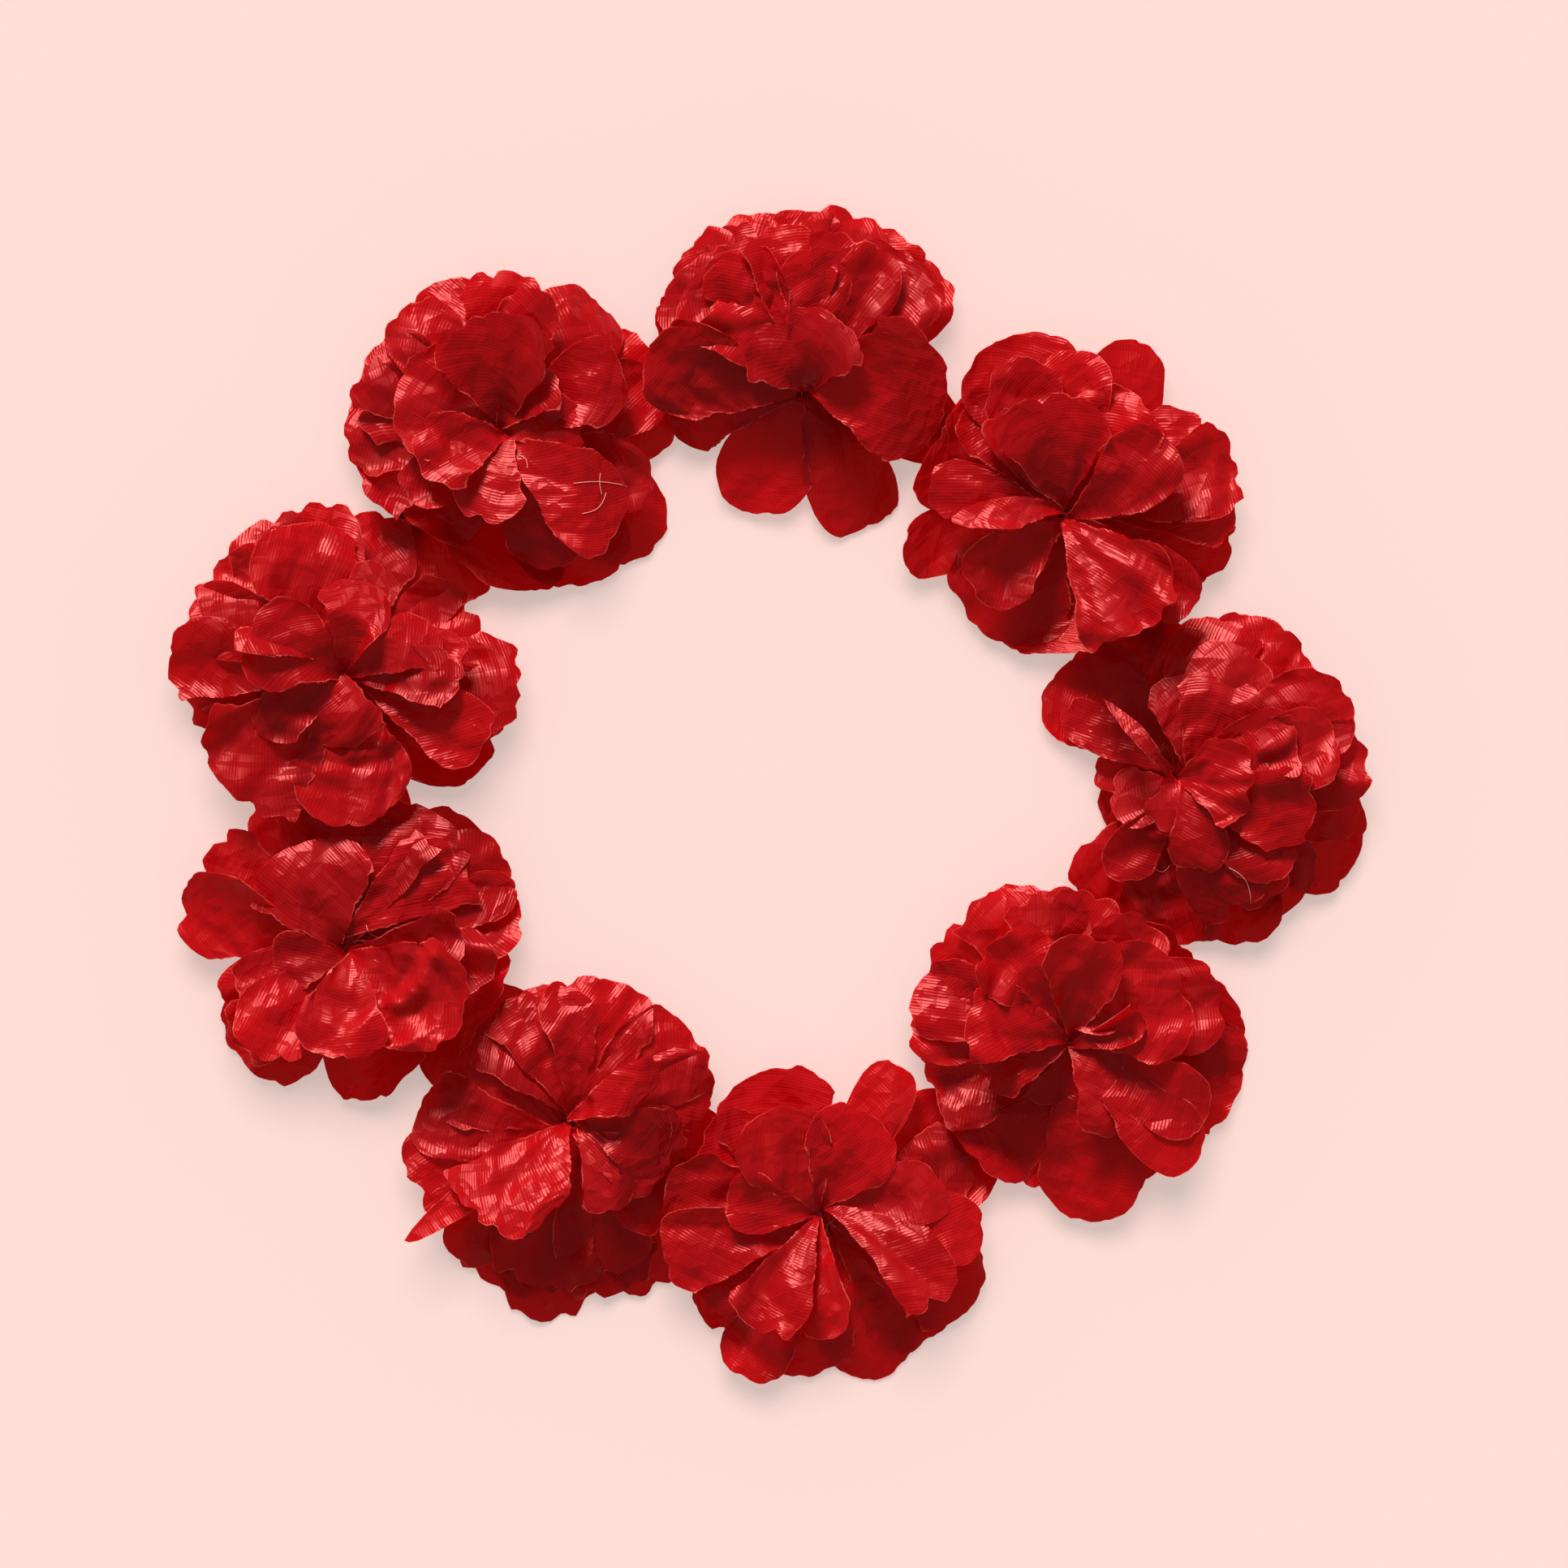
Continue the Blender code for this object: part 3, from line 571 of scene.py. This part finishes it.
def petal(bm, row, number, rank, count, planes, middle, layers, bloomFolds):
    bearing, reach, spreading, rise, tip, sides, roll, fold, rim, cutName = row
    cut = cuts[cutName]
    layer = rank / count
    droop = cloth["droop"] * (1 - smooth(layer, *cloth["droopLayers"]))
    behind = broadRoot if cutName == "broad" else 0
    reach += behind
    steeper = cloth["pitRise"] * smooth(layer, *cloth["pitLayers"])
    draw = random.Random(number * 100 + rank)
    outs, heights, slopes, length = spine(reach, rise - droop, tip - droop, rim, steeper)
    turn = math.radians(bearing)
    spread = math.radians(spreading + cut["more"])
    upward = Vector((0, 0, 1))
    sway = draw.uniform(-cloth["sway"], cloth["sway"])
    spot = Vector([draw.uniform(0, cloth["boltLength"]) for _ in range(3)])
    phases = [draw.uniform(0, 2 * math.pi) for _ in range(4)]
    ownFolds = foldedTurns(number * 1000 + rank, cloth["gatherPitch"])
    rimWaves = foldedTurns(number * 1000 + rank + 500, cloth["wavePitch"])
    creases = []
    for way in (6, 7, 8):
        slant = draw.uniform(0, math.pi)
        folds = foldedTurns(number * 1000 + rank + 100 * way, cloth["creasePitch"])
        creases.append((folds, Vector((math.cos(slant), math.sin(slant), 0))))
    grain = math.radians(draw.uniform(-cloth["grainTurn"], cloth["grainTurn"]))
    shade = draw.random()
    rollTurn = math.radians(roll + draw.uniform(-1, 1) * cloth["unevenRoll"])
    roundness = draw.uniform(*cut["ends"])
    power = draw.uniform(*cloth["endPower"]) if cutName != "pointed" else cloth["pointedPower"]
    lopsided = draw.uniform(-1, 1) * cloth["lopsided"]
    dentPlace = draw.uniform(-cloth["dentPlace"], cloth["dentPlace"])
    dentDepth = draw.uniform(0, cloth["dentDepth"])
    scallops = math.pi * spread * reach / cloth["scallopPitch"]
    outward = Vector((math.cos(turn), math.sin(turn), 0))
    root = middle + upward * (cloth["rootHeight"] + cloth["layerStep"] * rank)
    root -= outward * (draw.uniform(0, 1) * cloth["rootShift"] * smooth(rise, 15, 35) + behind)
    root.z -= behind
    root += outward.cross(upward) * draw.uniform(-1, 1) * cloth["rootShift"]
    tilt = Matrix.Rotation(rollTurn, 3, outward)

    across = max(12, round(2 * spread * reach * 0.8 / cloth["meshStep"]))
    lengthwise = max(10, round(length / cloth["meshStep"]))
    notches = []
    for column in range(across + 1):
        v = column / across * 2 - 1
        scallop = abs(math.cos(scallops * v + phases[0])) - 0.6
        scallop += 0.3 * math.sin(2.7 * scallops * v + phases[1])
        notch = cut["scallop"] * scallop - dentDepth * math.exp(-((v - dentPlace) / cloth["dentWidth"]) ** 2)
        notches.append(notch + draw.uniform(-1, 1) * cloth["ragged"])
    sideRags = [draw.uniform(-1, 1) * cloth["ragged"] for _ in range(lengthwise + 1)]

    made = bmesh.ops.create_grid(bm, x_segments=across, y_segments=lengthwise, size=1)
    for vert in made["verts"]:
        u = (vert.co.y + 1) / 2
        v = vert.co.x
        share = u * (1 - (roundness + lopsided * v) * abs(v) ** power)
        share += notches[round((v + 1) / 2 * across)] / length * u**4
        out = cloth["rootRadius"] + length * along(outs, share)
        rag = sideRags[round(u * lengthwise)] * smooth(abs(v), 0.96, 1.0)
        flat = Vector((spread * v * out, share * length, 0))

        # round the middle of the bloom, with one side folded up
        sideWave = cloth["sideWave"] * math.sin(phases[2 if v > 0 else 3] + 8 * u) * abs(v) ** 3
        aside = v + math.copysign(rag / (spread * out) + sideWave, v)
        lift = math.tan(math.radians(sides)) * abs(v) * abs(flat.x)
        beyond = (v if fold > 0 else -v) - cloth["foldLine"]
        if fold and beyond > 0:
            crease = abs(math.radians(fold)) * smooth(beyond, 0.0, 0.15) * smooth(u, 0.1, 0.5)
            aside = math.copysign(cloth["foldLine"] + beyond * math.cos(crease), v)
            lift += spread * beyond * out * math.sin(crease)
        heading = turn + spread * aside + sway * u**2

        # gathered at the root, and waving at the rim
        wander = heading + 0.05 * math.sin(7 * u + phases[2])
        gathers = cloth["sharedGather"] * foldAt(bloomFolds, math.degrees(heading))
        gathers += cloth["ownGather"] * foldAt(ownFolds, math.degrees(wander))
        gathers *= (out / cloth["fullReach"]) ** 1.4 * (1 - 0.3 * smooth(u, 0.5, 1.0))
        waving = foldAt(rimWaves, math.degrees(wander)) * smooth(u, 0.4, 1.0) * out / cloth["fullReach"]
        lift += cut["pleats"] * gathers + cut["waves"] * waving

        # crumpled in patches, and billowing
        billow = noise.noise(flat * cloth["billowScale"] + spot)
        patch = noise.noise(flat * cloth["patchScale"] - spot)
        first, second, third = [foldAt(folds, flat.dot(way)) for folds, way in creases]
        crumple = first * smooth(patch, -0.25, 0.2) + second * smooth(-patch, -0.2, 0.25)
        crumple += 0.5 * third * smooth(billow, -0.2, 0.3)
        lift += (cut["crumple"] * crumple + cut["billow"] * billow) * smooth(u, 0.1, 0.5)

        slope = along(slopes, share)
        ahead = Vector((math.cos(heading), math.sin(heading), 0))
        place = ahead * out + upward * (length * along(heights, share))
        place += (upward * math.cos(slope) - ahead * math.sin(slope)) * lift
        place = root + tilt @ place
        place.z = eased(place.z, cloth["floor"] + cloth["floorStep"] * rank, cloth["floorSoftness"])
        for origin, facing, onTop in planes:
            pages = rank if onTop else count - 1 - rank
            distance = (place - origin).dot(facing)
            least = leaning["clear"] + leaning["pageStep"] * pages
            if distance < least + 5 * leaning["softness"]:
                place += facing * (eased(distance, least, leaning["softness"]) - distance)
        vert.co = place * mm

        vert[layers["toEdge"]] = max(0.0, min((1 - u) * length, (1 - abs(v)) * spread * out))
        vert[layers["shade"]] = shade
        vert[layers["cutX"]] = (flat.x * math.cos(grain) - flat.y * math.sin(grain)) / 10 + spot.x
        vert[layers["cutY"]] = (flat.x * math.sin(grain) + flat.y * math.cos(grain)) / 10 + spot.y


bundle = {
    "foot": 1.4,
    "top": 11.0,
    "footRadius": 5.0,
    "topRadius": 1.6,
    "flutes": 13,
    "fluteDepth": 0.6,
    "across": 104,
    "lengthwise": 10,
}


def gatheredBundle(bm, middle, layers):
    # the ends of all petals, drawn together under the middle
    made = bmesh.ops.create_grid(bm, x_segments=bundle["across"], y_segments=bundle["lengthwise"], size=1)
    for vert in made["verts"]:
        angle = math.pi * vert.co.x
        share = (vert.co.y + 1) / 2
        height = bundle["foot"] + (bundle["top"] - bundle["foot"]) * share
        radius = bundle["footRadius"] + (bundle["topRadius"] - bundle["footRadius"]) * share
        radius += bundle["fluteDepth"] * math.cos(bundle["flutes"] * angle) * (1 - 0.5 * share)
        vert.co = (middle + Vector((radius * math.cos(angle), radius * math.sin(angle), height))) * mm
        vert[layers["toEdge"]] = bundle["footRadius"]
        vert[layers["shade"]] = 0.5
        vert[layers["cutX"]] = angle * radius / 10
        vert[layers["cutY"]] = height / 10
    bmesh.ops.remove_doubles(bm, verts=made["verts"], dist=0.01 * mm)


def makeBloom(number, finish):
    rows = blooms[number - 1]
    planes = leaningPlanes(number)
    middle = bloomMiddle(number)
    bloomFolds = foldedTurns(number, cloth["gatherPitch"])
    bm = bmesh.new()
    layers = {name: bm.verts.layers.float.new(name) for name in ("toEdge", "shade", "cutX", "cutY")}
    gatheredBundle(bm, middle, layers)
    ranked = [(-third, (120 * third, *heartPetal)) for third in (1, 2, 3)] + list(enumerate(rows))
    for rank, row in ranked:
        petal(bm, row, number, rank, len(rows), planes, middle, layers, bloomFolds)
    surfaces.append(BVHTree.FromBMesh(bm))
    cut = bm.loops.layers.uv.new("cut")
    for face in bm.faces:
        face.smooth = True
        for loop in face.loops:
            loop[cut].uv = (loop.vert[layers["cutX"]], loop.vert[layers["cutY"]])
    for edge in bm.edges:
        edge.smooth = not edge.is_boundary
    bmesh.ops.recalc_face_normals(bm, faces=bm.faces)
    mesh = bpy.data.meshes.new(f"petals_{number}")
    bm.to_mesh(mesh)
    bm.free()
    piece = bpy.data.objects.new(f"petals_{number}", mesh)
    bpy.context.scene.collection.objects.link(piece)
    mesh.materials.append(finish)
    wall = piece.modifiers.new("thickness", "SOLIDIFY")
    wall.thickness = cloth["thickness"] * mm
    wall.offset = 0
    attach(piece, "root")
    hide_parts(f"bloom_{number}")
    print("bloom", number, "made with", len(ranked), "petals and", len(mesh.polygons), "faces")


surfaces = []  # of the blooms, on which the loose threads are laid
petalSatin = makeSatin()
for number in range(1, len(blooms) + 1):
    makeBloom(number, petalSatin)


# The thread that ties each bloom in its middle

tie = {
    "radius": 0.16,
    "color": (0.42, 0.012, 0.016, 1),
    "turns": 3,
    "loopRadius": 1.1,
    "loopSteps": 17,
    "uneven": 0.1,
    "lean": 0.45,
    "loose": {2: (285, 5.5), 4: (60, 4.5), 6: (250, 5.0), 9: (320, 5.0)},  # by bloom: bearing and reach
    "looseTurns": (-20, 25),  # either side of a loose end's bearing
    "looseBend": 0.5,
    "looseRise": (0.5, 3.5, -1.2),  # its start, its rise and its sag, in mm
    "looseSteps": 12,
    "roughness": 0.6,
    "fuzzScale": 2500,
    "fuzzStrength": 0.5,
    "fuzzDepth": 0.1,
}


def makeThread(name, color):
    made, nodes, links = newMaterial(name)
    place = nodes.new("ShaderNodeTexCoord")
    fuzz = nodes.new("ShaderNodeTexNoise")
    fuzz.inputs["Scale"].default_value = tie["fuzzScale"]
    links.new(place.outputs["Object"], fuzz.inputs["Vector"])
    bump = nodes.new("ShaderNodeBump")
    bump.inputs["Strength"].default_value = tie["fuzzStrength"]
    bump.inputs["Distance"].default_value = tie["fuzzDepth"] * mm
    links.new(fuzz.outputs["Fac"], bump.inputs["Height"])
    strand = nodes.new("ShaderNodeBsdfPrincipled")
    strand.inputs["Base Color"].default_value = color
    strand.inputs["Roughness"].default_value = tie["roughness"]
    links.new(bump.outputs[0], strand.inputs["Normal"])
    showShader(nodes, links, strand)
    return made


def strandMesh(name, paths, radius):
    # round threads along lists of points, in mm
    data = bpy.data.curves.new(name, "CURVE")
    data.dimensions = "3D"
    data.bevel_depth = radius * mm
    data.bevel_resolution = 1
    data.use_fill_caps = True
    for path in paths:
        line = data.splines.new("POLY")
        line.points.add(len(path) - 1)
        for point, place in zip(line.points, path):
            point.co = (*(Vector(place) * mm), 1)
    holder = bpy.data.objects.new(name, data)
    mesh = bpy.data.meshes.new_from_object(holder)
    bpy.data.objects.remove(holder)
    for face in mesh.polygons:
        face.use_smooth = True
    piece = bpy.data.objects.new(name, mesh)
    bpy.context.scene.collection.objects.link(piece)
    return piece


def makeKnot(number, finish):
    draw = random.Random(number)
    low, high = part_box(f"knot_{number}")
    middle = Vector(((low[0] + high[0]) / 2, (low[1] + high[1]) / 2, high[2])) / mm
    paths = []
    for _ in range(tie["turns"]):
        heading = draw.uniform(0, math.pi)
        side = Vector((math.cos(heading), math.sin(heading), 0)) * tie["loopRadius"]
        path = []
        for step in range(tie["loopSteps"]):
            angle = 2 * math.pi * step / tie["loopSteps"]
            off = [draw.uniform(-tie["uneven"], tie["uneven"]) for _ in range(2)]
            path.append(middle + side * math.cos(angle) + Vector((*off, tie["lean"] * math.sin(angle))))
        paths.append(path)
    if number in tie["loose"]:
        bearing, reach = tie["loose"][number]
        start, rising, falling = tie["looseRise"]
        for turn in tie["looseTurns"]:
            heading = math.radians(bearing + turn)
            bend = draw.uniform(-tie["looseBend"], tie["looseBend"])
            path = []
            for step in range(tie["looseSteps"] + 1):
                share = step / tie["looseSteps"]
                ahead = heading + bend * share
                rise = Vector((0, 0, start + rising * share + falling * share * share))
                path.append(middle + Vector((math.cos(ahead), math.sin(ahead), 0)) * reach * share + rise)
            paths.append(path)
    piece = strandMesh(f"tie_{number}", paths, tie["radius"])
    piece.data.materials.append(finish)
    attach(piece, "root")
    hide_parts(f"knot_{number}")


sewingThread = makeThread("sewing_thread", tie["color"])
for number in range(1, len(blooms) + 1):
    makeKnot(number, sewingThread)
print("knots made")


# Loose threads that lie on the petals: the bloom, both ends and how far it bows aside, in mm

looseThreads = {
    "radius": 0.09,
    "steps": 16,
    "bridging": 3,
    "above": 60,
    "color": (0.80, 0.25, 0.21, 1),
    "strands": [
        (2, (-45.0, 71.4), (-33.1, 71.0), 0.6), (2, (-38.9, 73.8), (-38.6, 69.0), -0.3),
        (2, (-37.6, 69.4), (-43.0, 64.5), 1.4), (2, (-57.8, 78.0), (-55.6, 75.0), 0.9),
        (8, (103.7, -15.8), (109.3, -24.2), 1.8), (8, (87.5, -16.2), (91.2, -15.6), -1.2),
        (6, (12.6, -99.5), (14.4, -96.8), 0.7), (4, (-92.4, -29.2), (-89.6, -32.0), -0.8),
    ],
}


def makeLooseThreads(finish):
    steps = looseThreads["steps"]
    paths = []
    for number, start, end, bow in looseThreads["strands"]:
        start, end = Vector(start), Vector(end)
        aside = Vector((start.y - end.y, end.x - start.x)).normalized()
        path = []
        for step in range(steps + 1):
            share = step / steps
            spot = start + (end - start) * share + aside * bow * math.sin(math.pi * share)
            above = Vector((*spot, looseThreads["above"])) * mm
            hit = surfaces[number - 1].ray_cast(above, Vector((0, 0, -1)))[0]
            path.append(Vector((*spot, hit.z / mm if hit else path[-1].z)))
        for _ in range(looseThreads["bridging"]):  # a thread bridges the creases under it
            for step in range(1, steps):
                path[step].z = max(path[step].z, (path[step - 1].z + path[step + 1].z) / 2)
        paths.append([place + Vector((0, 0, cloth["thickness"] + looseThreads["radius"])) for place in path])
    piece = strandMesh("loose_threads", paths, looseThreads["radius"])
    piece.data.materials.append(finish)
    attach(piece, "root")


makeLooseThreads(makeThread("pale_thread", looseThreads["color"]))
print("loose threads laid")


# The band

bandCloth = {
    "dark": (0.14, 0.003, 0.005, 1),
    "light": (0.22, 0.005, 0.007, 1),
    "roughness": 0.7,
    "weaveScale": 400,
    "weaveDistortion": 1.5,
    "bumpStrength": 0.4,
    "bumpDepth": 0.2,
}


def makeBandCloth():
    made, nodes, links = newMaterial("band_cloth")
    place = nodes.new("ShaderNodeTexCoord")
    weave = nodes.new("ShaderNodeTexWave")
    weave.wave_type = "RINGS"
    weave.rings_direction = "Z"
    weave.inputs["Scale"].default_value = bandCloth["weaveScale"]
    weave.inputs["Distortion"].default_value = bandCloth["weaveDistortion"]
    links.new(place.outputs["Object"], weave.inputs["Vector"])
    bump = nodes.new("ShaderNodeBump")
    bump.inputs["Strength"].default_value = bandCloth["bumpStrength"]
    bump.inputs["Distance"].default_value = bandCloth["bumpDepth"] * mm
    links.new(weave.outputs["Fac"], bump.inputs["Height"])
    tape = nodes.new("ShaderNodeBsdfPrincipled")
    color = mixColor(nodes, links, weave.outputs["Fac"], bandCloth["dark"], bandCloth["light"])
    links.new(color, tape.inputs["Base Color"])
    tape.inputs["Roughness"].default_value = bandCloth["roughness"]
    links.new(bump.outputs[0], tape.inputs["Normal"])
    showShader(nodes, links, tape)
    return made


frame["nodes"]["band"].material_slots[0].material = makeBandCloth()
print("band dressed")


# The stage

studio = {
    "floorColor": (0.85, 0.50, 0.465, 1),
    "floorGlow": (0.385, 0.400, 0.368, 1),
    "floorRoughness": 0.9,
    "floorSize": 4,
    "skyColor": (1.0, 0.93, 0.91, 1),
    "skyStrength": 0.34,
    "frameWidth": 0.36,
    "cameraHeight": 2.4,
    "centre": (0.0029, 0.0030),
    "sensor": 36,
    "clipEnd": 20,
}

# bearing and height of each light in the sky and its width, in degrees, its strength and colour
suns = {
    "window": (105, 29, 18, 5.4, (1.0, 0.98, 0.96)),
    "below": (95, 62, 30, 1.3, (1.0, 1.0, 1.0)),
}


def aimedAt(obj, target):
    obj.rotation_euler = (Vector(target) - obj.location).to_track_quat("-Z", "Y").to_euler()


def addSun(name):
    bearing, height, softness, strength, color = suns[name]
    lamp = bpy.data.lights.new(name, "SUN")
    lamp.angle = math.radians(softness)
    lamp.energy = strength
    lamp.color = color
    obj = bpy.data.objects.new(name, lamp)
    turn, up = math.radians(bearing), math.radians(height)
    obj.location = (math.cos(turn) * math.cos(up), math.sin(turn) * math.cos(up), math.sin(up))
    bpy.context.scene.collection.objects.link(obj)
    aimedAt(obj, (0, 0, 0))
    return obj


def makeFloor():
    made, nodes, links = newMaterial("studio_floor")
    paper = nodes.new("ShaderNodeBsdfPrincipled")
    paper.inputs["Base Color"].default_value = studio["floorColor"]
    paper.inputs["Emission Color"].default_value = studio["floorGlow"]
    paper.inputs["Emission Strength"].default_value = 1
    paper.inputs["Roughness"].default_value = studio["floorRoughness"]
    paper.inputs["Specular IOR Level"].default_value = 0
    showShader(nodes, links, paper)
    bm = bmesh.new()
    bmesh.ops.create_grid(bm, x_segments=1, y_segments=1, size=studio["floorSize"] / 2)
    mesh = bpy.data.meshes.new("studio_floor")
    bm.to_mesh(mesh)
    bm.free()
    mesh.materials.append(made)
    floor = bpy.data.objects.new("studio_floor", mesh)
    bpy.context.scene.collection.objects.link(floor)


def makeCamera():
    data = bpy.data.cameras.new("camera")
    data.sensor_width = studio["sensor"]
    data.lens = studio["sensor"] * studio["cameraHeight"] / studio["frameWidth"]
    data.clip_end = studio["clipEnd"]
    camera = bpy.data.objects.new("camera", data)
    camera.location = (*studio["centre"], studio["cameraHeight"])
    bpy.context.scene.collection.objects.link(camera)
    bpy.context.scene.camera = camera


makeFloor()
makeCamera()
window, below = addSun("window"), addSun("below")

# the window lights the cloth, and the softer light the floor below it
cloths = bpy.data.collections.new("cloths")
papers = bpy.data.collections.new("papers")
for obj in bpy.context.scene.collection.objects:
    if obj.type == "MESH":
        (papers if obj.name == "studio_floor" else cloths).objects.link(obj)
window.light_linking.receiver_collection = cloths
below.light_linking.receiver_collection = papers

world = bpy.data.worlds.new("studio")
world.use_nodes = True
world.node_tree.nodes["Background"].inputs[0].default_value = studio["skyColor"]
world.node_tree.nodes["Background"].inputs[1].default_value = studio["skyStrength"]
bpy.context.scene.world = world
bpy.context.scene.view_settings.view_transform = "Standard"
print("stage set")
